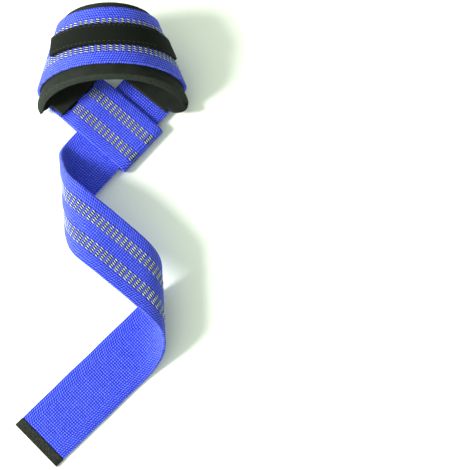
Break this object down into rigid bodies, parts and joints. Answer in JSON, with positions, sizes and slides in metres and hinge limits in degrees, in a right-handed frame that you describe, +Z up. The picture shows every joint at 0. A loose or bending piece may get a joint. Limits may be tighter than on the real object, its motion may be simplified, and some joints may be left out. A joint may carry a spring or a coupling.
{
  "type": "padded weightlifting strap, one of a pair",
  "caption": "Padded wrist lifting strap: cotton webbing with grip stripes, a padded cuff with a tape closure and an eye, and a long tail with a black tip.",
  "frame": {"origin": "middle of the strap's outline, on the surface that it lies on", "axes": "+Z up from that surface, +Y along the strap from the tail's tip to the cuff, +X to the right as the picture shows it"},
  "size_m": [0.1098, 0.2942, 0.0613],
  "materials": {
    "cotton_webbing": "woven, matt",
    "neoprene": "foam with a knitted facing, matt",
    "closure_tape": "hook and loop tape, matt",
    "tip_tape": "folded woven tape, satin"
  },
  "bodies": {
    "root": {"webbing": "cotton_webbing", "neoprene_pad": "neoprene", "closure_base": "closure_tape", "closure_flap": "closure_tape", "end_tip": "tip_tape"}
  },
  "joints": []
}
